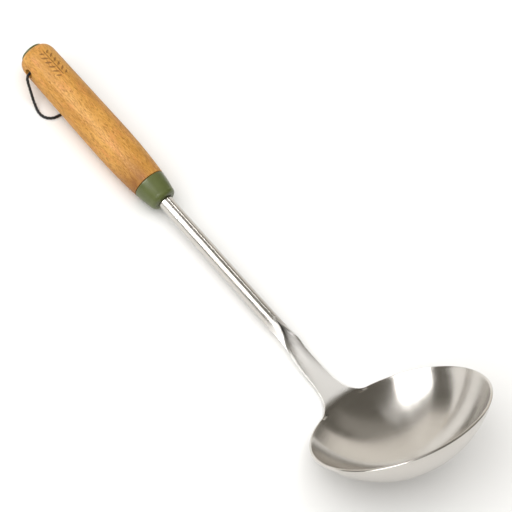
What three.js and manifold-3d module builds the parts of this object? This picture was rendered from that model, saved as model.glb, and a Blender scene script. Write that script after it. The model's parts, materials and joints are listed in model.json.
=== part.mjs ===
// A soup ladle: bowl, neck and rolled stem pressed from one steel sheet, a plastic ferrule,
// a turned wooden grip with a plastic end cap, and a hanging cord tied through a cross hole.
// Millimetres, +Z up. The ladle lies on a flat surface at Z = 0, bowl towards +X, grip towards -X.

import * as THREE from 'three';
import { mergeVertices } from 'three/addons/utils/BufferGeometryUtils.js';
import Module from 'manifold-3d';

const wasm = await Module();
wasm.setup();

const rad = THREE.MathUtils.degToRad;
const GAP = 0.3; // left between pieces that touch

// Steel sheet: a spherical bowl whose rim runs out into a neck that rolls up into a tube
const SHEET = 1.2;
const RIM_RADIUS = 43.5; // middle of the sheet
const WALL_SLOPE = rad(58); // bowl wall at the rim, and the neck where it leaves the rim
const STEM_SLOPE = rad(49); // stem over the rim plane
const BEND_LENGTH = 3; // behind the rim, over which the slope changes
const NECK_LENGTH = 16; // of strip that stays nearly flat
const FLARE_HALF = 15; // half the width of rim that runs into the neck
const FLARE_REACH = 3.7; // how fast the flare narrows along the neck
const FLARE_POWER = 0.8;
const FLARE_SAG_REACH = 6; // how fast the rim's curve straightens along the neck
const NECK_HALF = 4.6;
const TUBE_RADIUS = 3.05; // middle of the sheet
const TUBE_TURN = rad(175); // each side of the strip rolls this far round
const ROLL = { start: 30, end: 50 }; // where the strip widens to the tube's girth
const CURL_END = 43; // where it is rolled up
const CURL_POWER = 3; // how late the curl sets in
const TANG_END = 206; // along the sheet, from the rim

// Distances below are along the stem's axis, from the rim
const FERRULE = {
  nose: 131.9,
  back: 144,
  noseFlat: 5,
  noseRadius: 7.1,
  noseRounding: 2.4,
  backRadius: 8.65,
  wall: 5.2,
};
const FERRULE_MIDDLE = { radius: 7.725, z: 138.9 };
const TENON_RADIUS = 6.05;
const GRIP = { start: FERRULE.back + GAP, end: 235.9, radius: 10, buttRadius: 9.5, endRadius: 6 };
const GRIP_SWELL = { length: 30, power: 2.2 }; // from the ferrule's radius to the grip's full one
const GRIP_ROUNDING = 5.4; // length of the rounded butt
const TANG_BORE = { radius: 4.9, end: 208 };
const GLUE = { inner: 3.95, outer: 4.6, start: 155, end: 202 };
const SPIGOT = { radius: 2.5, length: 5.6 };
const CAP = { radius: 6.2, edge: 0.5, dome: 1.3 };
const CROSS_HOLE = { at: 227.5, radius: 2.4 };

// Hanging cord
const CORD_RADIUS = 0.75;
const CORD_CLEAR = 2.0; // height left under the grip where the cord passes
const CORD_CROSSING = 22.7; // from the cross hole to that place
const KNOT = { length: 4.4, radius: 1.9 };

// Route of the cord from the knot, up to the far mouth of the cross hole, through it, down to the
// surface, round and back under the grip: x and y from the hole's middle, z above the surface.
// Through the hole it follows the hole's own height, given here as null.
const CORD_ROUTE = [
  [12.6, 12, 1],
  [10.8, 11.9, 1.8],
  [9.1, 11.9, 3],
  [7.5, 11.8, 4.6],
  [5.9, 11.6, 6.6],
  [4.4, 11.4, 8.4],
  [2.9, 11.2, 10.1],
  [1.5, 10.8, 11.5],
  [0.5, 9.9, 12.3],
  [0, 8, null],
  [0, 4, null],
  [0, 0, null],
  [0, -4, null],
  [0, -8, null],
  [0.5, -10.2, 12.3],
  [1.5, -11.4, 11.6],
  [2.9, -11.9, 10.2],
  [4.4, -12.1, 8.5],
  [5.9, -12.2, 6.6],
  [7.5, -12.3, 4.6],
  [9.3, -12.5, 2.8],
  [11.6, -12.9, 1.5],
  [14, -13.5, 0.85],
  [16.6, -13.8, 0.8],
  [19, -13.3, 0.8],
  [21.1, -11.6, 0.8],
  [22.3, -9.1, 0.8],
  [22.6, -6.2, 0.8],
  [22.7, -3.1, 0.8],
  [22.7, 0, 0.8],
  [22.6, 3.1, 0.8],
  [22.4, 6, 0.8],
  [21.7, 8.8, 0.8],
  [20.2, 11.1, 0.8],
  [17.9, 12.2, 0.85],
];
const KNOT_PLACE = { x: 15.25, y: 12.3, z: 1.95 };

const material = (color, roughness, metalness) => {
  return new THREE.MeshStandardMaterial({ color, roughness, metalness });
};
const steel = material(0xbab7b0, 0.28, 1);
const olivePlastic = material(0x59633a, 0.35, 0);
const wood = material(0xd9a45e, 0.55, 0);
const glue = material(0xcbbf9a, 0.5, 0);
const blackCord = material(0x15151a, 0.8, 0);

const part = (name, geometry, look) => {
  const mesh = new THREE.Mesh(geometry, look);
  mesh.name = name;
  return mesh;
};

const ease = (u) => {
  const c = THREE.MathUtils.clamp(u, 0, 1);
  return c * c * (3 - 2 * c);
};

// ---------------------------------------------------------------- steel blank
// The bowl's rim lies in the plane z = 0 around the origin, and the stem leaves towards -x.

const bowlRadius = RIM_RADIUS / Math.sin(WALL_SLOPE);
const bowlCentreZ = bowlRadius * Math.cos(WALL_SLOPE);
const bendRadius = BEND_LENGTH / (WALL_SLOPE - STEM_SLOPE);

// Middle line of the strip in the plane y = 0, t millimetres from the rim
const middleLine = (t) => {
  if (t < 0) {
    const slope = WALL_SLOPE + t / bowlRadius;
    return { x: -bowlRadius * Math.sin(slope), z: bowlCentreZ - bowlRadius * Math.cos(slope), slope };
  }
  const slope = Math.max(WALL_SLOPE - t / bendRadius, STEM_SLOPE);
  const straight = Math.max(t - BEND_LENGTH, 0);
  const x = -RIM_RADIUS - bendRadius * (Math.sin(WALL_SLOPE) - Math.sin(slope));
  const z = bendRadius * (Math.cos(slope) - Math.cos(WALL_SLOPE));
  return { x: x - straight * Math.cos(slope), z: z + straight * Math.sin(slope), slope };
};

const tubeHalf = TUBE_RADIUS * TUBE_TURN; // half the flat width of the rolled stem
const FLARE_SAG = FLARE_HALF ** 2 * Math.cos(WALL_SLOPE) / (2 * RIM_RADIUS);

const halfWidth = (t) => {
  const flare = (FLARE_HALF - NECK_HALF) * Math.exp(-((t / FLARE_REACH) ** FLARE_POWER));
  const roll = (tubeHalf - NECK_HALF) * ease((t - ROLL.start) / (ROLL.end - ROLL.start));
  return NECK_HALF + flare + roll;
};

// Point of the strip: t along it, across from -1 to 1 over its width
const stripPoint = (t, across) => {
  const sag = FLARE_SAG * across ** 2 * Math.exp(-t / FLARE_SAG_REACH);
  const { x, z, slope } = middleLine(t - sag);
  const curl = THREE.MathUtils.lerp(1 / bowlRadius, 1 / TUBE_RADIUS, ease(t / CURL_END) ** CURL_POWER);
  const turn = halfWidth(t) * across * curl;
  const lift = (1 - Math.cos(turn)) / curl;
  return [x + lift * Math.sin(slope), Math.sin(turn) / curl, z + lift * Math.cos(slope)];
};

// Closed shell of even thickness around a sheet given by its middle surface
const thicken = (points, triangles, thickness) => {
  const sheet = new THREE.BufferGeometry();
  sheet.setAttribute('position', new THREE.Float32BufferAttribute(points.flat(), 3));
  sheet.setIndex(triangles.flat());
  sheet.computeVertexNormals();
  const normals = sheet.getAttribute('normal');
  const both = [];
  for (const side of [0.5, -0.5]) {
    points.forEach((point, i) => {
      const normal = [normals.getX(i), normals.getY(i), normals.getZ(i)];
      both.push(...point.map((value, axis) => value + normal[axis] * side * thickness));
    });
  }
  const count = points.length;
  const index = triangles.flat();
  const edges = new Set();
  for (const [a, b, c] of triangles) {
    index.push(a + count, c + count, b + count);
    [[a, b], [b, c], [c, a]].forEach(([from, to]) => edges.add(`${from} ${to}`));
  }
  for (const edge of edges) {
    const [from, to] = edge.split(' ').map(Number);
    if (!edges.has(`${to} ${from}`)) {
      index.push(to, from, from + count, to, from + count, to + count);
    }
  }
  const shell = new THREE.BufferGeometry();
  shell.setAttribute('position', new THREE.Float32BufferAttribute(both, 3));
  shell.setIndex(index);
  return shell;
};

const ladleBlank = () => {
  const ACROSS = 16; // cells over the strip's width
  const AROUND = 44; // cells round the rest of the rim
  const RINGS = 9;
  const flareAngle = Math.asin(FLARE_HALF / RIM_RADIUS);
  const rimAngles = [];
  for (let i = 0; i < ACROSS; i++) {
    rimAngles.push(Math.asin((2 * i / ACROSS - 1) * FLARE_HALF / RIM_RADIUS));
  }
  for (let i = 0; i < AROUND; i++) {
    rimAngles.push(flareAngle + (2 * Math.PI - 2 * flareAngle) * i / AROUND);
  }
  const points = [];
  const triangles = [];
  const quad = (a, b, c, d) => triangles.push([a, b, c], [a, c, d]);

  // Bowl, ring by ring from the rim down to its lowest point
  const round = rimAngles.length;
  for (let ring = 0; ring < RINGS; ring++) {
    const slope = WALL_SLOPE * (1 - ring / RINGS);
    for (const angle of rimAngles) {
      const r = bowlRadius * Math.sin(slope);
      const z = bowlCentreZ - bowlRadius * Math.cos(slope);
      points.push([-r * Math.cos(angle), r * Math.sin(angle), z]);
    }
  }
  const bottom = points.push([0, 0, bowlCentreZ - bowlRadius]) - 1;
  for (let i = 0; i < round; i++) {
    const next = (i + 1) % round;
    for (let ring = 0; ring < RINGS - 1; ring++) {
      const row = ring * round;
      quad(row + i, row + round + i, row + round + next, row + next);
    }
    const last = (RINGS - 1) * round;
    triangles.push([last + i, bottom, last + next]);
  }

  // Strip, row by row from the rim to the end of the tang
  const stations = [];
  for (let k = 1; k <= 8; k++) stations.push(NECK_LENGTH * (k / 8) ** 1.8);
  for (let k = 1; k <= 14; k++) stations.push(NECK_LENGTH + 3 * k);
  const rolled = NECK_LENGTH + 42;
  for (let k = 1; k <= 6; k++) stations.push(rolled + (TANG_END - rolled) * k / 6);
  let row = Array.from({ length: ACROSS + 1 }, (_, i) => i);
  for (const t of stations) {
    const next = row.map((_, i) => points.push(stripPoint(t, 2 * i / ACROSS - 1)) - 1);
    for (let i = 0; i < ACROSS; i++) quad(row[i], row[i + 1], next[i + 1], next[i]);
    row = next;
  }
  return thicken(points, triangles, SHEET);
};

// ---------------------------------------------------------------- turned pieces
// Their axis is the stem's own, with z along it from the rim and x towards the stem's open seam.

const turned = (profile, segments = 32) => {
  const geometry = new THREE.LatheGeometry(profile.map(([r, z]) => new THREE.Vector2(r, z)), segments);
  geometry.rotateX(Math.PI / 2);
  return geometry;
};

// Quarter of an ellipse from (r0, z0) to (r1, z1), level at its start along the radius
const quarter = ([r0, z0], [r1, z1], steps) => {
  return Array.from({ length: steps }, (_, i) => {
    const a = (Math.PI / 2) * (i + 1) / steps;
    return [r0 + (r1 - r0) * Math.sin(a), z0 + (z1 - z0) * (1 - Math.cos(a))];
  });
};

const stemRadius = TUBE_RADIUS + SHEET / 2;
const boreRadius = stemRadius + GAP;

const ferrule = () => {
  const { nose, back, noseFlat, noseRadius, noseRounding, backRadius, wall } = FERRULE;
  const start = [boreRadius, nose];
  return turned([
    start,
    ...quarter([noseFlat, nose], [noseRadius, nose + noseRounding], 5),
    [FERRULE_MIDDLE.radius, FERRULE_MIDDLE.z],
    [backRadius, back],
    [TENON_RADIUS + GAP, back],
    [TENON_RADIUS + GAP, nose + wall],
    [boreRadius, nose + wall],
    start,
  ]);
};

const gripRadiusAt = (z) => {
  const swell = THREE.MathUtils.clamp((z - GRIP.start) / GRIP_SWELL.length, 0, 1);
  const full = GRIP.start + GRIP_SWELL.length;
  const taper = THREE.MathUtils.clamp((z - full) / (GRIP.end - full), 0, 1);
  const swollen = (GRIP.radius - FERRULE.backRadius) * (1 - (1 - swell) ** GRIP_SWELL.power);
  return FERRULE.backRadius + swollen - (GRIP.radius - GRIP.buttRadius) * taper;
};

// Manifold solid from a closed three.js geometry
const solid = (geometry) => {
  const bare = geometry.clone();
  bare.deleteAttribute('normal');
  bare.deleteAttribute('uv');
  const merged = mergeVertices(bare, 1e-4);
  const kept = [];
  for (let i = 0; i < merged.index.count; i += 3) {
    const [a, b, c] = [0, 1, 2].map((k) => merged.index.getX(i + k));
    if (a !== b && b !== c && c !== a) kept.push(a, b, c);
  }
  const vertProperties = new Float32Array(merged.getAttribute('position').array);
  return new wasm.Manifold(new wasm.Mesh({ numProp: 3, vertProperties, triVerts: new Uint32Array(kept) }));
};

const fromSolid = (shape) => {
  const { vertProperties, triVerts } = shape.getMesh();
  const geometry = new THREE.BufferGeometry();
  geometry.setAttribute('position', new THREE.BufferAttribute(vertProperties, 3));
  geometry.setIndex(new THREE.BufferAttribute(triVerts, 1));
  return geometry;
};

const woodGrip = () => {
  const tenonFront = FERRULE.nose + FERRULE.wall + GAP;
  const spigotBore = SPIGOT.radius + GAP;
  const outline = [];
  const curveEnd = GRIP.end - GRIP_ROUNDING;
  for (const z of [0, 3, 7, 12, 20, 30, 50, 70].map((d) => GRIP.start + d)) {
    outline.push([gripRadiusAt(z), z]);
  }
  outline.push([GRIP.buttRadius, curveEnd]);
  const rounding = quarter([GRIP.endRadius, GRIP.end], [GRIP.buttRadius, curveEnd], 6).reverse().slice(1);
  const body = turned([
    [0, TANG_BORE.end],
    [TANG_BORE.radius, TANG_BORE.end],
    [TANG_BORE.radius, tenonFront],
    [TENON_RADIUS, tenonFront],
    [TENON_RADIUS, GRIP.start],
    ...outline,
    ...rounding,
    [GRIP.endRadius, GRIP.end],
    [spigotBore, GRIP.end],
    [spigotBore, GRIP.end - SPIGOT.length - GAP],
    [0, GRIP.end - SPIGOT.length - GAP],
  ]);
  const hole = new THREE.CylinderGeometry(CROSS_HOLE.radius, CROSS_HOLE.radius, 4 * GRIP.radius, 24);
  hole.translate(0, 0, CROSS_HOLE.at);
  return fromSolid(solid(body).subtract(solid(hole)));
};

const buttCap = () => {
  const seat = GRIP.end + GAP;
  return turned([
    [0, GRIP.end - SPIGOT.length],
    [SPIGOT.radius, GRIP.end - SPIGOT.length],
    [SPIGOT.radius, seat],
    [CAP.radius, seat],
    [CAP.radius, seat + CAP.edge],
    ...quarter([0, seat + CAP.edge + CAP.dome], [CAP.radius, seat + CAP.edge], 6).reverse().slice(1),
    [0, seat + CAP.edge + CAP.dome],
  ]);
};

const tangGlue = () => turned([
  [GLUE.inner, GLUE.start],
  [GLUE.outer, GLUE.start],
  [GLUE.outer, GLUE.end],
  [GLUE.inner, GLUE.end],
  [GLUE.inner, GLUE.start],
], 24);

// ---------------------------------------------------------------- how it lies

// Stem axis seen from the rim: the strip's middle line, lifted by the tube's radius
const stemStart = middleLine(BEND_LENGTH);
const axisPoint = (t) => ({
  x: stemStart.x + TUBE_RADIUS * Math.sin(STEM_SLOPE) - (t - BEND_LENGTH) * Math.cos(STEM_SLOPE),
  z: stemStart.z + TUBE_RADIUS * Math.cos(STEM_SLOPE) + (t - BEND_LENGTH) * Math.sin(STEM_SLOPE),
});

// The bowl rests on the surface, and the grip is just clear of the cord that passes under it.
// Both are circles in the plane y = 0, and the surface is their common tangent.
const bowlOuter = bowlRadius + SHEET / 2;
const over = axisPoint(CROSS_HOLE.at - CORD_CROSSING);
const gripReach = gripRadiusAt(CROSS_HOLE.at - CORD_CROSSING) + CORD_CLEAR;
const rise = bowlCentreZ - over.z;
const run = -over.x;
const tilt = Math.atan2(-rise, run) + Math.asin((bowlOuter - gripReach) / Math.hypot(rise, run));

const ladle = new THREE.Group();
ladle.rotation.y = -tilt;
ladle.add(part('ladle_blank', ladleBlank(), steel));

const stem = new THREE.Group();
const foot = axisPoint(0);
stem.position.set(foot.x, 0, foot.z);
stem.rotation.y = STEM_SLOPE - Math.PI / 2;
stem.add(part('ferrule', ferrule(), olivePlastic));
stem.add(part('wood_grip', woodGrip(), wood));
stem.add(part('butt_cap', buttCap(), olivePlastic));
stem.add(part('tang_glue', tangGlue(), glue));
ladle.add(stem);

// Lowest point at Z = 0, and the middle of the box over the origin
ladle.updateMatrixWorld(true);
const box = new THREE.Box3().setFromObject(ladle, true);
ladle.position.set(-(box.min.x + box.max.x) / 2, 0, -box.min.z);
ladle.updateMatrixWorld(true);

// ---------------------------------------------------------------- cord

const hole = stem.localToWorld(new THREE.Vector3(0, 0, CROSS_HOLE.at));

const hangingCord = () => {
  const route = CORD_ROUTE.map(([x, y, z]) => new THREE.Vector3(hole.x + x, y, z ?? hole.z));
  const SIDES = 8;
  const section = new THREE.Shape(Array.from({ length: SIDES }, (_, i) => {
    const a = (2 * Math.PI * (i + 0.5)) / SIDES;
    return new THREE.Vector2(CORD_RADIUS * Math.cos(a), CORD_RADIUS * Math.sin(a));
  }));
  const extrudePath = new THREE.CatmullRomCurve3(route, false, 'centripetal');
  return new THREE.ExtrudeGeometry(section, { steps: 64, extrudePath });
};

const cordKnot = () => {
  const { length, radius } = KNOT;
  const geometry = turned([
    [0, -length / 2],
    [radius * 0.6, -length / 2],
    [radius * 0.92, -length / 4],
    [radius, 0],
    [radius * 0.92, length / 4],
    [radius * 0.6, length / 2],
    [0, length / 2],
  ], 12);
  geometry.rotateY(Math.PI / 2);
  geometry.translate(hole.x + KNOT_PLACE.x, KNOT_PLACE.y, KNOT_PLACE.z);
  return geometry;
};

const model = new THREE.Group();
model.add(ladle);
model.add(part('hanging_cord', hangingCord(), blackCord));
model.add(part('cord_knot', cordKnot(), blackCord));

export default model;
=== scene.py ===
"""A soup ladle lying on a pale floor: satin steel bowl and rolled stem, olive plastic ferrule and end cap,
turned wooden grip, twisted cord loop. Lengths are in metres unless a name ends in _MM."""

import json
import math

import bmesh
import bpy
import numpy as np
from mathutils import Matrix, Vector

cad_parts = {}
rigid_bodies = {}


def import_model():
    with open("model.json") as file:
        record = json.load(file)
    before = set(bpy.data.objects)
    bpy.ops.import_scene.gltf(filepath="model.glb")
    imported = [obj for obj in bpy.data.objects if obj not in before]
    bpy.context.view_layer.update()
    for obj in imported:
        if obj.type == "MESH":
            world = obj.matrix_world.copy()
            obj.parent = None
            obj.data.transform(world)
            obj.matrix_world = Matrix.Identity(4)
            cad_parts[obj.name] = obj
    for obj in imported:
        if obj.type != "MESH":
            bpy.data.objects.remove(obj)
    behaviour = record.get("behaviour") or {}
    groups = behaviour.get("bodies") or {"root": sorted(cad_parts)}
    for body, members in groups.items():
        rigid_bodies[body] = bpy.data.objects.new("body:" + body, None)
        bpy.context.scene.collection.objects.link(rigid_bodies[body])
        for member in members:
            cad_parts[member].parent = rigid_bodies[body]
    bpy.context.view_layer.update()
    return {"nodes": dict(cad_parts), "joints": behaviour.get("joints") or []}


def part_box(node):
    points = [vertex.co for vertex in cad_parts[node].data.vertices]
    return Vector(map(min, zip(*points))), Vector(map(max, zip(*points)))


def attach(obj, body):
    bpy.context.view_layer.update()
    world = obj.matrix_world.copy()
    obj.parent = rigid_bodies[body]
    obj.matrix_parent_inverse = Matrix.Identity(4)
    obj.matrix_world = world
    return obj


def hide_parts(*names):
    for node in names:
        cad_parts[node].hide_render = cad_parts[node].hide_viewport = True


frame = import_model()
MM = 0.001

# ---------------------------------------------------------------- driving sizes, as in the CAD part

SHEET = 1.2 * MM
RIM_RADIUS = 43.5 * MM  # middle of the sheet
WALL_SLOPE = math.radians(58)
STEM_SLOPE = math.radians(49)
BEND_LENGTH, NECK_LENGTH = 3 * MM, 16 * MM
FLARE_HALF = 15 * MM  # half the neck's width where it leaves the rim
FLARE_REACH = 3.7 * MM
FLARE_POWER = 0.8
FLARE_SAG_REACH = 6 * MM  # over which the rim's curve fades out of the rows of the neck
NECK_HALF = 4.6 * MM
TUBE_RADIUS = 3.05 * MM
TUBE_HALF = TUBE_RADIUS * math.radians(175)
ROLL_START, ROLL_END = 30 * MM, 50 * MM  # where the strip widens to the tube's full width
CURL_END, CURL_POWER = 43 * MM, 3  # how its curl grows to the tube's
TANG_END = 206 * MM

# Along the stem's axis, from the rim
FERRULE_NOSE, FERRULE_BACK, FERRULE_WALL = 131.9 * MM, 144 * MM, 5.2 * MM
FERRULE_NOSE_RADIUS, FERRULE_BACK_RADIUS = 7.1 * MM, 8.65 * MM
TENON_RADIUS = 6.05 * MM
GRIP_START, GRIP_END, GRIP_RADIUS, BUTT_RADIUS = 144.3 * MM, 235.9 * MM, 10 * MM, 9.5 * MM
GRIP_END_RADIUS, GRIP_ROUNDING = 6 * MM, 5.4 * MM
GRIP_SWELL, GRIP_SWELL_POWER = 30 * MM, 2.2  # from the ferrule's radius to the grip's full one
CAP_RADIUS, CAP_EDGE, CAP_DOME = 6.2 * MM, 0.5 * MM, 1.3 * MM
HOLE_AT, HOLE_RADIUS = 227.5 * MM, 2.4 * MM
GAP = 0.3 * MM

# Cord
CORD_RADIUS = 0.75 * MM
CORD_ROUTE_MM = [  # from the hole's middle: x, y, and z above the floor, or None for the hole's own height
    (12.6, 12, 1),
    (10.8, 11.9, 1.8),
    (9.1, 11.9, 3),
    (7.5, 11.8, 4.6),
    (5.9, 11.6, 6.6),
    (4.4, 11.4, 8.4),
    (2.9, 11.2, 10.1),
    (1.5, 10.8, 11.5),
    (0.5, 9.9, 12.3),
    (0, 8, None),
    (0, 4, None),
    (0, 0, None),
    (0, -4, None),
    (0, -8, None),
    (0.5, -10.2, 12.3),
    (1.5, -11.4, 11.6),
    (2.9, -11.9, 10.2),
    (4.4, -12.1, 8.5),
    (5.9, -12.2, 6.6),
    (7.5, -12.3, 4.6),
    (9.3, -12.5, 2.8),
    (11.6, -12.9, 1.5),
    (14, -13.5, 0.85),
    (16.6, -13.8, 0.8),
    (19, -13.3, 0.8),
    (21.1, -11.6, 0.8),
    (22.3, -9.1, 0.8),
    (22.6, -6.2, 0.8),
    (22.7, -3.1, 0.8),
    (22.7, 0, 0.8),
    (22.6, 3.1, 0.8),
    (22.4, 6, 0.8),
    (21.7, 8.8, 0.8),
    (20.2, 11.1, 0.8),
    (17.9, 12.2, 0.85),
]

# ---------------------------------------------------------------- where things lie

hinge = frame["joints"][0]
HOLE = Vector(hinge["pos_m"])
BOWL_RADIUS = RIM_RADIUS / math.sin(WALL_SLOPE)
BOWL_CENTRE = BOWL_RADIUS * math.cos(WALL_SLOPE)
BEND_RADIUS = BEND_LENGTH / (WALL_SLOPE - STEM_SLOPE)


def middle_line(t):
    """x, z and slope of the steel strip's middle line, t from the rim, with the rim plane level."""
    t = np.asarray(t, float)
    on_bowl = WALL_SLOPE + t / BOWL_RADIUS
    slope = np.maximum(WALL_SLOPE - t / BEND_RADIUS, STEM_SLOPE)
    straight = np.maximum(t - BEND_LENGTH, 0)
    x = -RIM_RADIUS - BEND_RADIUS * (np.sin(WALL_SLOPE) - np.sin(slope)) - straight * np.cos(slope)
    z = BEND_RADIUS * (np.cos(slope) - np.cos(WALL_SLOPE)) + straight * np.sin(slope)
    bowl_x = -BOWL_RADIUS * np.sin(on_bowl)
    bowl_z = BOWL_CENTRE - BOWL_RADIUS * np.cos(on_bowl)
    inside = t < 0
    return np.where(inside, bowl_x, x), np.where(inside, bowl_z, z), np.where(inside, on_bowl, slope)


def axis_point(t):
    """Stem axis in the plane y = 0 at the distance t from the rim, with the rim plane level."""
    x, z, _ = middle_line(BEND_LENGTH)
    x = x + TUBE_RADIUS * math.sin(STEM_SLOPE) - (t - BEND_LENGTH) * math.cos(STEM_SLOPE)
    z = z + TUBE_RADIUS * math.cos(STEM_SLOPE) + (t - BEND_LENGTH) * math.sin(STEM_SLOPE)
    return Vector((float(x), 0, float(z)))


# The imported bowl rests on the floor, so the middle of its sphere gives the turn from level to lying.
hole_level = axis_point(HOLE_AT)
bowl_level = Vector((0, 0, BOWL_CENTRE))
reach = hole_level - bowl_level
bowl_height = BOWL_RADIUS + SHEET / 2
TILT = math.asin((bowl_height - HOLE.z) / reach.length) + math.atan2(reach.z, -reach.x)
LYING = Matrix.Rotation(-TILT, 4, "Y")
LYING = Matrix.Translation(HOLE - LYING @ hole_level) @ LYING
STEM = LYING @ Matrix.Translation(axis_point(0)) @ Matrix.Rotation(STEM_SLOPE - math.pi / 2, 4, "Y")

# ---------------------------------------------------------------- camera

VIEW_AZIMUTH, VIEW_ELEVATION = math.radians(30.8), math.radians(56.06)
VIEW_ROLL = math.radians(20.63)
VIEW_DISTANCE = 1.0
VIEW_TARGET = Vector((2.9, 21.75, 0)) * MM
LENS_MM = 143.21


def direction_to(azimuth, elevation):
    """Unit vector towards that azimuth, which is 0 on the -y side, and elevation."""
    level = math.cos(elevation)
    return Vector((math.sin(azimuth) * level, -math.cos(azimuth) * level, math.sin(elevation)))


def aimed(back, distance, target):
    """Placing of a camera or light at the distance from the target along back, turned to the target."""
    turn = (-back).to_track_quat("-Z", "Y").to_matrix().to_4x4()
    return Matrix.Translation(target + back * distance) @ turn


def make_camera():
    data = bpy.data.cameras.new("camera")
    camera = bpy.data.objects.new("camera", data)
    bpy.context.scene.collection.objects.link(camera)
    data.lens = LENS_MM
    data.clip_start, data.clip_end = 0.05, 20
    back = direction_to(VIEW_AZIMUTH, VIEW_ELEVATION)
    roll = Matrix.Rotation(VIEW_ROLL, 4, "Z")
    camera.matrix_world = aimed(back, VIEW_DISTANCE, VIEW_TARGET) @ roll
    bpy.context.scene.camera = camera


make_camera()

# ---------------------------------------------------------------- mesh helpers

ON_AXIS = 1e-7
STEEP = 0.9  # how upright a line may start before its first cross vector is taken along x


def make_object(name, points, faces, sharp_angle=None):
    """A smooth-shaded mesh object. Edges that turn by more than sharp_angle degrees stay sharp."""
    mesh = bpy.data.meshes.new(name)
    mesh.from_pydata([tuple(p) for p in points], [], faces)
    obj = bpy.data.objects.new(name, mesh)
    bpy.context.scene.collection.objects.link(obj)
    finish_mesh(obj, sharp_angle)
    return obj


def finish_mesh(obj, sharp_angle=None):
    work = bmesh.new()
    work.from_mesh(obj.data)
    bmesh.ops.recalc_face_normals(work, faces=work.faces)
    for face in work.faces:
        face.smooth = True
    if sharp_angle is not None:
        for edge in work.edges:
            if len(edge.link_faces) == 2:
                edge.smooth = edge.calc_face_angle() < math.radians(sharp_angle)
    work.to_mesh(obj.data)
    work.free()


def add_attribute(obj, name, values):
    values = np.asarray(values, np.float32)
    kind, key = ("FLOAT_VECTOR", "vector") if values.ndim == 2 else ("FLOAT", "value")
    attribute = obj.data.attributes.new(name, kind, "POINT")
    attribute.data.foreach_set(key, values.ravel())


def place(points, matrix):
    m = np.array(matrix)
    return np.asarray(points, float) @ m[:3, :3].T + m[:3, 3]


def lathe(name, profile, matrix, segments=144, sharp_angle=35):
    """Turned piece about its local z. The profile is a closed list of (radius, z) or ends on the axis."""
    points, rings = [], []
    for radius, z in profile:
        if radius < ON_AXIS:
            rings.append([len(points)])
            points.append((0, 0, z))
            continue
        start = len(points)
        rings.append(list(range(start, start + segments)))
        for i in range(segments):
            a = 2 * math.pi * i / segments
            points.append((radius * math.cos(a), radius * math.sin(a), z))
    faces = []
    closed = len(rings[0]) > 1
    pairs = zip(rings, rings[1:] + rings[:1]) if closed else zip(rings, rings[1:])
    for low, high in pairs:
        for i in range(segments):
            k = (i + 1) % segments
            if len(low) == 1:
                faces.append((low[0], high[k], high[i]))
            elif len(high) == 1:
                faces.append((low[i], low[k], high[0]))
            else:
                faces.append((low[i], low[k], high[k], high[i]))
    return make_object(name, place(points, matrix), faces, sharp_angle)


def arc(r0, z0, r1, z1, steps, bulge_first=True):
    """Quarter ellipse from (r0, z0) to (r1, z1), leaving along r if bulge_first and along z if not."""
    out = []
    for i in range(steps + 1):
        a = math.pi / 2 * i / steps
        across, along = (math.sin(a), 1 - math.cos(a)) if bulge_first else (1 - math.cos(a), math.sin(a))
        out.append((r0 + (r1 - r0) * across, z0 + (z1 - z0) * along))
    return out


def tube_mesh(line, radii, sides):
    """Points and faces of a closed round tube along line, with one radius for each point."""
    count = len(line)
    first, second = carried_frame(line)
    points, faces = [], []
    angles = 2 * np.pi * np.arange(sides) / sides
    for i in range(count):
        ring = np.cos(angles)[:, None] * first[i] + np.sin(angles)[:, None] * second[i]
        points.extend(line[i] + radii[i] * ring)
    for i in range(count - 1):
        for k in range(sides):
            n = (k + 1) % sides
            faces.append((i * sides + k, i * sides + n, (i + 1) * sides + n, (i + 1) * sides + k))
    faces.append(tuple(range(sides))[::-1])
    faces.append(tuple(range((count - 1) * sides, count * sides)))
    return points, faces


def carried_frame(line):
    """Two unit vectors across line at each point, carried along it without twisting."""
    tangent = np.gradient(line, axis=0)
    tangent /= np.linalg.norm(tangent, axis=1)[:, None]
    seed = np.array([0, 0, 1.0]) if abs(tangent[0][2]) < STEEP else np.array([1.0, 0, 0])
    first = []
    for t in tangent:
        seed = seed - t * (seed @ t)
        seed /= np.linalg.norm(seed)
        first.append(seed)
    first = np.array(first)
    return first, np.cross(tangent, first)


# ---------------------------------------------------------------- cord and knot

STRANDS = 3
STRAND_SHARE = 0.54  # strand radius over cord radius
STRAND_SIDES = 10
STRAND_TIP = 0.15  # square of a strand's share of its radius at its very end
TWIST_PITCH = 5.4 * MM  # one strand's full turn
CORD_STEP = 0.22 * MM
CURVE_STEPS = 24
KNOT_TURNS, KNOT_STEPS = 2.6, 160
# The tails' points after the cord's end, in millimetres: x from the knot's own side, except for the first,
# which is from its middle; y from its middle; and z above the floor, or None for the knot's own height
TAIL_LOW_MM = ((0, 0.2, None), (-0.6, 0.9, 1.5), (-2.6, 2.1, 0.82), (-5.4, 2.7, 0.8))
TAIL_HIGH_MM = ((0, -0.2, None), (0.6, 1.0, 1.5), (2.4, 2.6, 0.82), (4.6, 4.0, 0.8))


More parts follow.
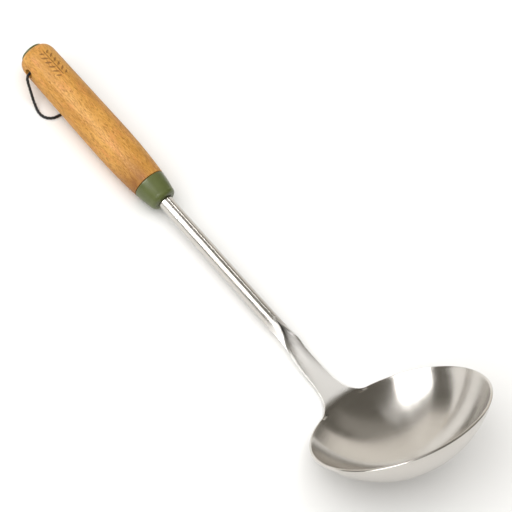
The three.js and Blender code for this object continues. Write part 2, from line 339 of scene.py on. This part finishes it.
def smooth_route(points, step):
    """Centripetal Catmull-Rom curve through the points, resampled to even steps."""
    p = np.asarray(points, float)
    p = np.vstack([2 * p[0] - p[1], p, 2 * p[-1] - p[-2]])
    out = []
    for i in range(1, len(p) - 2):
        before, here, there, after = p[i - 1:i + 3]
        d0, d1, d2 = np.linalg.norm(np.diff(p[i - 1:i + 3], axis=0), axis=1) ** 0.5
        leave = ((here - before) / d0 - (there - before) / (d0 + d1) + (there - here) / d1) * d1
        enter = ((there - here) / d1 - (after - here) / (d1 + d2) + (after - there) / d2) * d1
        for u in np.linspace(0, 1, CURVE_STEPS, endpoint=False):
            turn = 2 * u ** 3 - 3 * u ** 2
            out.append(
                here * (1 + turn) - there * turn
                + leave * (u ** 3 - 2 * u ** 2 + u) + enter * (u ** 3 - u ** 2)
            )
    out.append(p[-2])
    return even(np.array(out), step)


def distances(line):
    """How far along the line each of its points is."""
    return np.concatenate([[0], np.cumsum(np.linalg.norm(np.diff(line, axis=0), axis=1))])


def even(line, step):
    """The same line, resampled to even steps."""
    along = distances(line)
    at = np.linspace(0, along[-1], max(2, round(along[-1] / step) + 1))
    return np.stack([np.interp(at, along, line[:, k]) for k in range(3)], axis=1)


def joined_meshes(meshes):
    """Points and faces of several meshes as one."""
    points, faces = [], []
    for more, joined in meshes:
        start = len(points)
        points.extend(more)
        faces.extend(tuple(start + i for i in face) for face in joined)
    return points, faces


def twisted(line):
    """Points and faces of a twisted cord that follows line."""
    first, second = carried_frame(line)
    along = distances(line)
    strand = CORD_RADIUS * STRAND_SHARE
    end = np.minimum(along, along[-1] - along) / CORD_RADIUS
    radii = strand * np.sqrt(np.clip(end + STRAND_TIP, STRAND_TIP, 1))
    offset = CORD_RADIUS - strand
    strands = []
    for k in range(STRANDS):
        phase = 2 * np.pi * (along / TWIST_PITCH + k / STRANDS)
        middle = line + offset * (np.cos(phase)[:, None] * first + np.sin(phase)[:, None] * second)
        strands.append(tube_mesh(middle, radii, STRAND_SIDES))
    return joined_meshes(strands)


def make_cord():
    points = [
        (HOLE.x + x * MM, y * MM, HOLE.z if z is None else z * MM)
        for x, y, z in CORD_ROUTE_MM
    ]
    line = smooth_route(points, CORD_STEP)
    return make_object("twisted_cord", *twisted(line)), line


def make_knot(line):
    """The cord's two ends wound round each other, with short tails that lie on the floor."""
    low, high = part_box("cord_knot")
    middle = (low + high) / 2
    wrap_radius = (high.z - low.z) / 2 - CORD_RADIUS
    half = (high.x - low.x) / 2 - CORD_RADIUS
    turns = np.linspace(0, 2 * np.pi * KNOT_TURNS, KNOT_STEPS)
    wrap = np.stack([
        middle.x - half + 2 * half * turns / turns[-1],
        middle.y + wrap_radius * np.sin(turns),
        middle.z - wrap_radius * np.cos(turns),
    ], axis=1)
    paths = [even(wrap, CORD_STEP)]
    for end, side_x, tail in ((line[-1], low.x, TAIL_LOW_MM), (line[0], high.x, TAIL_HIGH_MM)):
        points = [end]
        for x, y, z in tail:
            if z is None:
                points.append((middle.x, middle.y + y * MM, middle.z))
            else:
                points.append((side_x + x * MM, middle.y + y * MM, z * MM))
        paths.append(smooth_route(points, CORD_STEP))
    return make_object("cord_knot_wound", *joined_meshes(twisted(path) for path in paths))


cord, cord_line = make_cord()
knot = make_knot(cord_line)
for piece, node in ((cord, "hanging_cord"), (knot, "cord_knot")):
    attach(piece, hinge["child"])
    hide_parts(node)

# ---------------------------------------------------------------- steel blank

ACROSS, AROUND, RINGS = 48, 176, 44  # faces across the strip, round the rest of the rim, down the bowl
NECK_ROWS, NECK_CROWDING = 30, 1.8  # the neck's rows crowd towards the rim
ROLL_STEP, STEM_STEP, TANG_ROWS = 0.8 * MM, 3 * MM, 5
ROLL_MARGIN = 4 * MM
EDGE_STEPS, EDGE_BULGE, EDGE_SQUARE = 8, 0.32 * MM, 0.55
RIM_BLEND = 4 * MM
# The neck is coarser than the rest, and its steel colour is painted lighter there as a highlight: from the
# delay past the rim, fading out from the middle on
FINISH_DELAY, FINISH_AND_HIGHLIGHT_START, FINISH_MIDDLE, FINISH_AND_HIGHLIGHT_END = 1 * MM, 5 * MM, 40 * MM, 54 * MM
BOWL_BRUSH_MM = 8  # size of the ring that the noise is read on, round the bowl
STRIP_BRUSH_MM = 40  # where the strip's own streaks start
STRIP_BRUSH_STRETCH = 3


def ease(u):
    c = np.clip(u, 0, 1)
    return c * c * (3 - 2 * c)


def half_width(t):
    """Half the strip's width, measured along its curl, at t from the rim."""
    flare = (FLARE_HALF - NECK_HALF) * np.exp(-((t / FLARE_REACH) ** FLARE_POWER))
    return NECK_HALF + flare + (TUBE_HALF - NECK_HALF) * ease((t - ROLL_START) / (ROLL_END - ROLL_START))


def strip_row(t, across):
    """Points across the strip at t from the rim, and the unit vectors across it there."""
    sag = FLARE_HALF ** 2 * math.cos(WALL_SLOPE) / (2 * RIM_RADIUS)
    x, z, slope = middle_line(t - sag * across ** 2 * math.exp(-t / FLARE_SAG_REACH))
    curl = 1 / BOWL_RADIUS + (1 / TUBE_RADIUS - 1 / BOWL_RADIUS) * ease(t / CURL_END) ** CURL_POWER
    turn = half_width(t) * across * curl
    lift = (1 - np.cos(turn)) / curl
    points = np.stack([x + lift * np.sin(slope), np.sin(turn) / curl, z + lift * np.cos(slope)], axis=1)
    over = np.stack([np.sin(turn) * np.sin(slope), np.cos(turn), np.sin(turn) * np.cos(slope)], axis=1)
    return points, over


def blank_sheet():
    """Middle surface of the blank with its rim level: points, faces and what the brushing needs.
    The brushing is given by the direction in which it spreads a reflection, by a coordinate across its
    lines and two along them, in millimetres, and by a share of the neck's coarser finish, which also paints a
    highlight into the neck's steel colour."""
    across = np.linspace(-1, 1, ACROSS + 1)
    flare = math.asin(FLARE_HALF / RIM_RADIUS)
    rest = flare + (2 * math.pi - 2 * flare) * np.arange(AROUND) / AROUND
    angles = np.concatenate([np.arcsin(across[:-1] * FLARE_HALF / RIM_RADIUS), rest])
    count = len(angles)
    points, spread, lines, finish_and_highlight, faces = [], [], [], [], []
    for ring in range(RINGS):
        slope = WALL_SLOPE * (1 - ring / RINGS)
        for a in angles:
            r = BOWL_RADIUS * math.sin(slope)
            points.append((-r * math.cos(a), r * math.sin(a), BOWL_CENTRE - BOWL_RADIUS * math.cos(slope)))
            spread.append((-math.cos(a) * math.cos(slope), math.sin(a) * math.cos(slope), math.sin(slope)))
            lines.append((BOWL_RADIUS / MM * slope, BOWL_BRUSH_MM * math.cos(a), BOWL_BRUSH_MM * math.sin(a)))
            finish_and_highlight.append(0)
    bottom = len(points)
    points.append((0, 0, BOWL_CENTRE - BOWL_RADIUS))
    spread.append((1, 0, 0))
    lines.append((0, 0, 0))
    finish_and_highlight.append(0)
    for i in range(count):
        k = (i + 1) % count
        for ring in range(RINGS - 1):
            row = ring * count
            faces.append((row + i, row + count + i, row + count + k, row + k))
        last = (RINGS - 1) * count
        faces.append((last + i, bottom, last + k))

    rim = np.array([points[i] for i in range(ACROSS + 1)])
    miss = rim - strip_row(0.0, across)[0]
    neck = NECK_LENGTH * np.linspace(0, 1, NECK_ROWS + 1)[1:] ** NECK_CROWDING
    rolling = np.arange(NECK_LENGTH + ROLL_STEP, ROLL_END + ROLL_MARGIN, ROLL_STEP)
    stem = np.arange(rolling[-1] + STEM_STEP, FERRULE_BACK, STEM_STEP)
    tang = np.linspace(FERRULE_BACK + STEM_STEP, TANG_END, TANG_ROWS)
    row = np.arange(ACROSS + 1)
    for t in np.concatenate([neck, rolling, stem, tang]):
        place_on, over = strip_row(t, across)
        start = len(points)
        points.extend(place_on + miss * math.exp(-t / RIM_BLEND))
        spread.extend(over)
        width = half_width(t) / MM
        lines.extend((STRIP_BRUSH_MM + width * a, t / MM / STRIP_BRUSH_STRETCH, 0) for a in across)
        smooth = ease((t - FINISH_MIDDLE) / (FINISH_AND_HIGHLIGHT_END - FINISH_MIDDLE))
        # the neck's share of the coarser finish, which also carries its painted highlight
        coarse = ease((t - FINISH_DELAY) / FINISH_AND_HIGHLIGHT_START) * (1 - smooth)
        finish_and_highlight.extend([float(coarse)] * len(across))
        following = np.arange(start, start + ACROSS + 1)
        for i in range(ACROSS):
            faces.append((row[i], row[i + 1], following[i + 1], following[i]))
        row = following
    faces = [tuple(int(i) for i in face) for face in faces]
    return np.array(points), faces, np.array(spread), np.array(lines), np.array(finish_and_highlight)


def vertex_normals(points, faces):
    normals = np.zeros_like(points)
    for face in faces:
        a, b, c, d = (points[i] for i in (face if len(face) == 4 else (*face, face[2])))
        area = np.cross(c - a, d - b) if len(face) == 4 else np.cross(b - a, c - a)
        for i in face:
            normals[i] += area
    return normals / np.linalg.norm(normals, axis=1)[:, None]


def boundary_loop(faces):
    """The open edge of a sheet, as vertex indices in order."""
    directed = {(a, b) for face in faces for a, b in zip(face, face[1:] + face[:1])}
    following = {a: b for a, b in directed if (b, a) not in directed}
    start = min(following)
    loop = [start]
    while following[loop[-1]] != start:
        loop.append(following[loop[-1]])
    return loop


def make_blank():
    """The sheet with its thickness and its rounded edge, lying as the ladle lies."""
    middle, faces, spread, lines, finish_and_highlight = blank_sheet()
    normals = vertex_normals(middle, faces)
    loop = boundary_loop(faces)
    count = len(middle)
    points = [middle + normals * SHEET / 2, middle - normals * SHEET / 2]
    faces = faces + [tuple(count + i for i in face[::-1]) for face in faces]
    source = list(range(count)) * 2
    edge = middle[loop]
    along = np.roll(edge, -1, axis=0) - np.roll(edge, 1, axis=0)
    outward = np.cross(along, normals[loop])
    outward /= np.linalg.norm(outward, axis=1)[:, None]
    rows = [list(loop)]
    next_free = 2 * count
    for step in range(1, EDGE_STEPS):
        a = math.pi * step / EDGE_STEPS
        up = math.copysign(abs(math.cos(a)) ** EDGE_SQUARE, math.cos(a)) * SHEET / 2
        out = math.sin(a) ** EDGE_SQUARE * EDGE_BULGE
        points.append(edge + normals[loop] * up + outward * out)
        rows.append(list(range(next_free, next_free + len(loop))))
        source.extend(loop)
        next_free += len(loop)
    rows.append([count + i for i in loop])
    for upper, lower in zip(rows, rows[1:]):
        for i in range(len(loop)):
            k = (i + 1) % len(loop)
            faces.append((upper[i], upper[k], lower[k], lower[i]))
    blank = make_object("steel_blank", place(np.concatenate(points), LYING), faces)
    turn = np.array(LYING.to_3x3())
    add_attribute(blank, "spread", spread[source] @ turn.T)
    add_attribute(blank, "brush", lines[source])
    # the coarse attribute also carries the neck's painted highlight
    add_attribute(blank, "coarse", finish_and_highlight[source])
    return blank


# ---------------------------------------------------------------- turned pieces

STEM_RADIUS = TUBE_RADIUS + SHEET / 2
BORE_RADIUS = STEM_RADIUS + GAP
NOSE_FLAT, NOSE_ROUNDING = 5 * MM, 2.4 * MM
BORE_BREAK, EDGE_BREAK, CAP_BREAK = 0.15 * MM, 0.25 * MM, 0.2 * MM
FERRULE_BOW = 0.12 * MM
PIN_HALF, PIN_STEPS = 12 * MM, 96  # the cutter for the cross hole
MOUTH_FROM, MOUTH_OPENING_MM, MOUTH_LIMIT_MM = 9.1 * MM, 0.15, 3


def make_ferrule():
    side_start, side_end = FERRULE_NOSE + NOSE_ROUNDING, FERRULE_BACK - EDGE_BREAK
    nose = arc(NOSE_FLAT, FERRULE_NOSE, FERRULE_NOSE_RADIUS, side_start, 16)
    side = []
    for u in np.linspace(0, 1, 16)[1:-1]:
        bow = FERRULE_BOW * math.sin(math.pi * u)
        radius = FERRULE_NOSE_RADIUS + u * (FERRULE_BACK_RADIUS - FERRULE_NOSE_RADIUS) + bow
        side.append((radius, side_start + u * (side_end - side_start)))
    lip = arc(FERRULE_BACK_RADIUS, side_end, FERRULE_BACK_RADIUS - EDGE_BREAK, FERRULE_BACK, 4, False)
    seat = TENON_RADIUS + GAP
    inner = FERRULE_NOSE + FERRULE_WALL
    return lathe("plastic_ferrule", [
        (BORE_RADIUS + BORE_BREAK, FERRULE_NOSE),
        *nose,
        *side,
        *lip,
        (seat, FERRULE_BACK),
        (seat, inner),
        (BORE_RADIUS, inner),
        (BORE_RADIUS, FERRULE_NOSE + BORE_BREAK),
    ], STEM)


def grip_radius(z):
    swell = np.clip((z - GRIP_START) / GRIP_SWELL, 0, 1)
    taper = np.clip((z - GRIP_START - GRIP_SWELL) / (GRIP_END - GRIP_START - GRIP_SWELL), 0, 1)
    swollen = (GRIP_RADIUS - FERRULE_BACK_RADIUS) * (1 - (1 - swell) ** GRIP_SWELL_POWER)
    return FERRULE_BACK_RADIUS + swollen - (GRIP_RADIUS - BUTT_RADIUS) * taper


def make_grip():
    curve_start = GRIP_END - GRIP_ROUNDING
    side = [(float(grip_radius(z)), z) for z in np.linspace(GRIP_START + EDGE_BREAK, curve_start, 90)]
    butt = arc(BUTT_RADIUS, curve_start, GRIP_END_RADIUS, GRIP_END, 24, False)
    front = arc(side[0][0] - EDGE_BREAK, GRIP_START, side[0][0], side[0][1], 4)
    grip = lathe("turned_grip", [
        (0, GRIP_START), *front, *side[1:], *butt[1:], (0, GRIP_END),
    ], STEM, segments=160)
    cutter = hole_cutter()
    cut = grip.modifiers.new("hole", "BOOLEAN")
    cut.operation, cut.solver, cut.object = "DIFFERENCE", "EXACT", cutter
    apply_modifiers(grip)
    bpy.data.objects.remove(cutter)
    finish_mesh(grip, 35)
    add_turned_coordinates(grip)
    return grip


def hole_cutter():
    """A pin through the grip along y whose ends open like a worn countersink."""
    profile = [(0, -PIN_HALF)]
    for y in np.linspace(-PIN_HALF, PIN_HALF, PIN_STEPS + 1):
        past = max(abs(y) - MOUTH_FROM, 0) / MM
        profile.append((HOLE_RADIUS + min(MOUTH_OPENING_MM * past ** 2, MOUTH_LIMIT_MM) * MM, y))
    profile.append((0, PIN_HALF))
    turn = STEM @ Matrix.Translation((0, 0, HOLE_AT)) @ Matrix.Rotation(-math.pi / 2, 4, "X")
    return lathe("hole_cutter", profile, turn, segments=64)


def apply_modifiers(obj):
    bpy.context.view_layer.update()
    done = bpy.data.meshes.new_from_object(obj.evaluated_get(bpy.context.evaluated_depsgraph_get()))
    obj.modifiers.clear()
    obj.data = done


def add_turned_coordinates(obj):
    """Each point's place along and across the stem's axis, in millimetres, for the grain and the clouding."""
    local = place([v.co for v in obj.data.vertices], STEM.inverted())
    add_attribute(obj, "turned", local / MM)


def make_cap():
    seat = GRIP_END + GAP
    edge = arc(CAP_RADIUS - CAP_BREAK, seat, CAP_RADIUS, seat + CAP_BREAK, 4)
    dome = arc(CAP_RADIUS, seat + CAP_EDGE, 0, seat + CAP_EDGE + CAP_DOME, 20, False)
    return lathe("end_cap", [(0, seat), *edge, *dome], STEM, segments=96, sharp_angle=50)


# ---------------------------------------------------------------- material helpers


class Look:
    """A node material that is built up by short calls. Sockets are passed on as the next node's inputs."""

    def __init__(self, name):
        self.material = bpy.data.materials.new(name)
        self.material.use_nodes = True
        self.tree = self.material.node_tree
        self.shader = self.tree.nodes["Principled BSDF"]

    def node(self, kind, inputs=None, **settings):
        made = self.tree.nodes.new("ShaderNode" + kind)
        for key, value in settings.items():
            setattr(made, key, value)
        for key, value in (inputs or {}).items():
            self.feed(made.inputs[key], value)
        return made

    def feed(self, socket, value):
        if isinstance(value, bpy.types.NodeSocket):
            self.tree.links.new(value, socket)
        else:
            socket.default_value = value

    def math(self, operation, *values):
        return self.node("Math", dict(enumerate(values)), operation=operation).outputs[0]

    def attribute(self, name, output="Vector"):
        return self.node("Attribute", attribute_name=name).outputs[output]

    def noise(self, vector, scale, detail=3.0, roughness=0.55, distortion=0.0):
        """Grey noise with scale bumps to the unit of vector: one number, or one for each axis."""
        stretch = scale if isinstance(scale, tuple) else (scale,) * 3
        place_at = self.node("Mapping", {"Vector": vector, "Scale": stretch}).outputs[0]
        inputs = {
            "Vector": place_at,
            "Scale": 1.0,
            "Detail": detail,
            "Roughness": roughness,
            "Distortion": distortion,
        }
        return self.node("TexNoise", inputs).outputs["Fac"]

    def ramp(self, value, *stops):
        """Colour or grey for a value: stops are (place, colour) or (place, number)."""
        made = self.node("ValToRGB", {"Fac": value})
        elements = made.color_ramp.elements
        while len(elements) < len(stops):
            elements.new(0.5)
        for element, (at, colour) in zip(elements, stops):
            element.position = at
            element.color = (*colour, 1) if isinstance(colour, tuple) else (colour, colour, colour, 1)
        return made.outputs["Color"]

    def range(self, value, low, high, to_low, to_high):
        """The value between low and high carried over to between to_low and to_high, and held there."""
        inputs = {"Value": value, "From Min": low, "From Max": high, "To Min": to_low, "To Max": to_high}
        return self.node("MapRange", inputs).outputs["Result"]

    def mix(self, share, a, b):
        """The colours a and b mixed. The Mix node has several sockets of each name, so they go by number."""
        made = self.node("Mix", data_type="RGBA")
        for number, value in ((0, share), (6, a), (7, b)):
            self.feed(made.inputs[number], (*value, 1) if isinstance(value, tuple) else value)
        return made.outputs[2]

    def bump(self, height, strength, distance):
        inputs = {"Height": height, "Strength": strength, "Distance": distance}
        return self.node("Bump", inputs).outputs["Normal"]

    def set(self, **inputs):
        """Feed the shader's own sockets, named with underscores for spaces."""
        for key, value in inputs.items():
            name = key.replace("_", " ")
            value = (*value, 1) if isinstance(value, tuple) and len(value) == 3 else value
            self.feed(self.shader.inputs[name], value)


# ---------------------------------------------------------------- materials


NECK_COARSENESS = 0.44  # what the neck's finish adds to the steel's roughness


def brushed_steel():
    look = Look("satin_steel")
    brush = look.attribute("brush")
    streaks = look.noise(brush, (2.6, 0.3, 0.3), detail=4)
    fine = look.noise(brush, (9, 0.5, 0.5), detail=2)
    broad = look.noise(brush, (0.2, 0.1, 0.1), detail=2)
    both = look.math("MULTIPLY_ADD", fine, 0.6, streaks)
    tint = look.ramp(streaks, (0.25, (0.59, 0.565, 0.53)), (0.75, (0.63, 0.605, 0.57)))
    # the neck's share: it makes the steel coarser and also paints a highlight into its colour
    neck = look.attribute("coarse", "Fac")
    # painted highlight: the neck's steel colour made near-white, standing in for the bright reflection it
    # catches
    tint = look.mix(neck, tint, (0.93, 0.915, 0.89))
    direction = look.node(
        "VectorTransform", {"Vector": look.attribute("spread")},
        vector_type="VECTOR", convert_from="OBJECT", convert_to="WORLD",
    )
    lined = look.range(streaks, 0.3, 0.7, 0.21, 0.235)
    satin = look.math("ADD", lined, look.range(broad, 0.3, 0.7, -0.015, 0.02))
    coarse = look.math("MULTIPLY", neck, NECK_COARSENESS)
    look.set(
        Base_Color=tint,
        Metallic=1.0,
        Roughness=look.math("ADD", satin, coarse),
        Anisotropic=0.8,
        Tangent=direction.outputs[0],
        Normal=look.bump(both, 0.05, 0.006 * MM),
    )
    return look.material


def olive_plastic():
    look = Look("olive_plastic")
    at = look.attribute("turned")
    cloud = look.noise(at, 0.25, detail=3)
    grainy = look.noise(at, 5, detail=3)
    look.set(
        Base_Color=look.ramp(cloud, (0.3, (0.085, 0.102, 0.031)), (0.7, (0.102, 0.122, 0.038))),
        Roughness=look.range(grainy, 0.3, 0.7, 0.26, 0.36),
        Normal=look.bump(grainy, 0.12, 0.03 * MM),
    )
    return look.material


def wood():
    look = Look("lacquered_wood")
    at = look.attribute("turned")
    tone = look.noise(at, (0.17, 0.17, 0.03), detail=4, distortion=0.4)
    streak = look.noise(at, (0.9, 0.9, 0.045), detail=4)
    pores = look.noise(at, (2.4, 2.4, 0.42), detail=3, roughness=0.6)
    fibre = look.noise(at, (4, 4, 0.7), detail=3)
    warm = look.noise(at, (0.3, 0.3, 0.09), detail=2)
    colour = look.ramp(
        tone,
        (0.32, (0.44, 0.2, 0.036)),
        (0.5, (0.56, 0.272, 0.052)),
        (0.68, (0.66, 0.35, 0.085)),
    )
    colour = look.mix(look.range(warm, 0.5, 0.7, 0, 0.6), colour, (0.6, 0.24, 0.07))
    colour = look.mix(look.range(streak, 0.45, 0.7, 0, 0.45), colour, (0.37, 0.155, 0.026))
    colour = look.mix(look.range(fibre, 0.52, 0.68, 0, 0.5), colour, (0.78, 0.46, 0.15))
    fleck = look.range(pores, 0.52, 0.62, 0, 0.8)
    colour = look.mix(fleck, colour, (0.29, 0.125, 0.022))
    # painted shade: the wood darkened beside the ferrule joint, most on the -y side
    colour = look.mix(painted_shade_by_ferrule(look, at), colour, (0.19, 0.062, 0.014))
    colour = look.mix(burned_sprig(look, at), colour, (0.13, 0.05, 0.016))
    height = look.math("SUBTRACT", fibre, look.math("MULTIPLY", fleck, 1.2))
    look.set(
        Base_Color=colour,
        Roughness=look.range(streak, 0.3, 0.7, 0.48, 0.58),
        Coat_Weight=0.04,
        Coat_Roughness=0.3,
        Normal=look.bump(height, 0.4, 0.06 * MM),
    )
    look.shader.inputs["Specular IOR Level"].default_value = 0.25
    return look.material


# along the stem's axis in millimetres: where the painted shade beside the ferrule starts and where it has
# faded out
SHADE_FROM_MM, SHADE_TO_MM = 146, 161


def painted_shade_by_ferrule(look, at):
    """Strength of the painted shade: the wood darkened beside the ferrule joint, darkest on the -y side."""
    split = look.node("SeparateXYZ", {"Vector": at})
    near = look.range(split.outputs["Z"], SHADE_FROM_MM, SHADE_TO_MM, 0.9, 0)
    side = look.range(split.outputs["Y"], -7.5, 0, 1, 0.12)
    patchy = look.range(look.noise(at, (0.5, 0.5, 0.2), detail=3), 0.3, 0.7, 0.6, 1)
    return look.math("MULTIPLY", look.math("MULTIPLY", near, side), patchy)


SPRIG_AT_MM, SPRIG_HALF_MM, SPRIG_FADE_MM = 221.5, 8.0, 0.2
STALK_HALF_MM, LEAF_OUT_MM = 0.28, 2.0
LEAF_PITCH_MM, LEAF_LENGTH_MM, LEAF_WIDTH_MM, LEAF_TURN = 3.0, 1.9, 0.55, math.radians(38)


def burned_sprig(look, at):
    """Strength of a small burned leaf sprig on the grip's upper side, near the butt."""
    split = look.node("SeparateXYZ", {"Vector": at})
    along = look.math("SUBTRACT", split.outputs["Z"], SPRIG_AT_MM)
    around = look.math("ABSOLUTE", split.outputs["Y"])
    upper = look.math("GREATER_THAN", split.outputs["X"], 0.0)
    slot = look.math("SUBTRACT", look.math("FLOORED_MODULO", along, LEAF_PITCH_MM), LEAF_PITCH_MM / 2)
    side = look.math("SUBTRACT", around, LEAF_OUT_MM)
    c, s = math.cos(LEAF_TURN), math.sin(LEAF_TURN)
    lengthwise = look.math("MULTIPLY_ADD", side, c, look.math("MULTIPLY", slot, s))
    crosswise = look.math("MULTIPLY_ADD", slot, c, look.math("MULTIPLY", side, -s))
    squared = look.math("POWER", look.math("ABSOLUTE", lengthwise), 2.0)
    bow = look.math("MULTIPLY_ADD", squared, -LEAF_WIDTH_MM / LEAF_LENGTH_MM ** 2, LEAF_WIDTH_MM)
    leaf = look.math("SUBTRACT", bow, look.math("ABSOLUTE", crosswise))
    stalk = look.math("SUBTRACT", STALK_HALF_MM, around)
    shape = look.range(look.math("MAXIMUM", leaf, stalk), -0.08, 0.12, 0, 1)
    ends = look.range(look.math("ABSOLUTE", along), SPRIG_HALF_MM - SPRIG_FADE_MM, SPRIG_HALF_MM, 1, 0)
    worn = look.range(look.noise(at, (1.4, 1.4, 0.8), detail=3), 0.3, 0.6, 0.45, 0.85)
    return look.math("MULTIPLY", look.math("MULTIPLY", shape, ends), look.math("MULTIPLY", upper, worn))


def black_cord():
    look = Look("black_cord")
    at = look.node("TexCoord").outputs["Object"]
    fibres = look.noise(at, 5200, detail=3)
    look.set(
        Base_Color=look.ramp(fibres, (0.35, (0.003, 0.003, 0.0035)), (0.75, (0.018, 0.018, 0.02))),
        Roughness=0.55,
        Sheen_Weight=0.08,
        Normal=look.bump(fibres, 0.5, 0.05 * MM),
    )
    return look.material


def set_glue():
    look = Look("set_glue")
    at = look.node("TexCoord").outputs["Object"]
    cloud = look.noise(at, 900, detail=3)
    look.set(
        Base_Color=look.ramp(cloud, (0.3, (0.5, 0.42, 0.25)), (0.7, (0.65, 0.56, 0.36))),
        Roughness=0.45,
        Normal=look.bump(cloud, 0.3, 0.1 * MM),
    )
    return look.material


def wear(obj, material):
    obj.data.materials.clear()
    obj.data.materials.append(material)


# ---------------------------------------------------------------- the ladle

steel = brushed_steel()
green = olive_plastic()
blank = make_blank()
wear(blank, steel)
ferrule = make_ferrule()
cap = make_cap()
for piece in (ferrule, cap):
    add_turned_coordinates(piece)
    wear(piece, green)
grip = make_grip()
wear(grip, wood())
cord_look = black_cord()
wear(cord, cord_look)
wear(knot, cord_look)
wear(frame["nodes"]["tang_glue"], set_glue())

for piece, node, slot in (
    (blank, "ladle_blank", "steel"),
    (ferrule, "ferrule", "olive_plastic"),
    (grip, "wood_grip", "wood"),
    (cap, "butt_cap", "olive_plastic"),
):
    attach(piece, hinge["parent"])
    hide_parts(node)

# ---------------------------------------------------------------- floor and light

FLOOR_RADIUS, FLOOR_SIDES = 0.6, 96
WARM = (1, 0.96, 0.9)
LIGHT_CENTRE = Vector((0.05, 0, 0))


def make_floor():
    turns = 2 * math.pi * np.arange(FLOOR_SIDES) / FLOOR_SIDES
    edge = [(FLOOR_RADIUS * math.cos(a), FLOOR_RADIUS * math.sin(a), 0) for a in turns]
    floor = make_object("floor", edge, [tuple(range(FLOOR_SIDES))])
    look = Look("floor")
    look.set(Base_Color=(0.88, 0.878, 0.87), Roughness=0.9)
    look.shader.inputs["Specular IOR Level"].default_value = 0.1
    wear(floor, look.material)


def make_light(
    name, azimuths, elevations, glow, colour=(1, 1, 1), distance=1.5, in_gloss=True, on_matt=True,
):
    """Soft box that fills those ranges of azimuth and elevation in degrees, turned to the ladle.
    Azimuth 0 is the -y side, and glow is the box's brightness where white paper shows as 1."""
    azimuth, elevation = (math.radians(sum(pair) / 2) for pair in (azimuths, elevations))
    across, upright = (math.radians(pair[1] - pair[0]) for pair in (azimuths, elevations))
    data = bpy.data.lights.new(name, "AREA")
    data.shape = "RECTANGLE"
    data.size = 2 * distance * math.tan(across / 2) * math.cos(elevation)
    data.size_y = 2 * distance * math.tan(upright / 2)
    data.energy, data.color = glow * math.pi * data.size * data.size_y, colour
    light = bpy.data.objects.new(name, data)
    bpy.context.scene.collection.objects.link(light)
    light.matrix_world = aimed(direction_to(azimuth, elevation), distance, LIGHT_CENTRE)
    light.visible_camera = False
    light.visible_glossy, light.visible_diffuse = in_gloss, on_matt


def make_world():
    world = bpy.data.worlds.new("studio")
    bpy.context.scene.world = world
    world.use_nodes = True
    tree = world.node_tree
    tree.nodes.clear()
    room = tree.nodes.new("ShaderNodeBackground")
    room.inputs["Color"].default_value = (0.15, 0.14, 0.12, 1)
    paper = tree.nodes.new("ShaderNodeBackground")
    paper.inputs["Color"].default_value = (1, 1, 1, 1)
    path = tree.nodes.new("ShaderNodeLightPath")
    pick = tree.nodes.new("ShaderNodeMixShader")
    output = tree.nodes.new("ShaderNodeOutputWorld")
    tree.links.new(path.outputs["Is Camera Ray"], pick.inputs[0])
    tree.links.new(room.outputs[0], pick.inputs[1])
    tree.links.new(paper.outputs[0], pick.inputs[2])
    tree.links.new(pick.outputs[0], output.inputs[0])


make_floor()
make_world()
make_light("window", (-43, -20), (23, 60), 11, on_matt=False)
make_light("window_side", (-57, -43), (38, 63), 2, on_matt=False)
make_light("window_edge", (-72, -57), (44, 66), 1.0, on_matt=False)
make_light("window_glow", (-100, -72), (48, 68), 0.6, on_matt=False)
make_light("side_wall", (-168, -73), (-6, 36), 0.82, WARM)
make_light("upper_wall", (-175, -104), (42, 62), 0.2, WARM)
make_light("key", (-75, -5), (25, 75), 1.3, distance=2.0, in_gloss=False)
make_light("overhead", (-60, 60), (20, 120), 2.1, distance=2.4, in_gloss=False)
bpy.context.scene.view_settings.view_transform = "Standard"
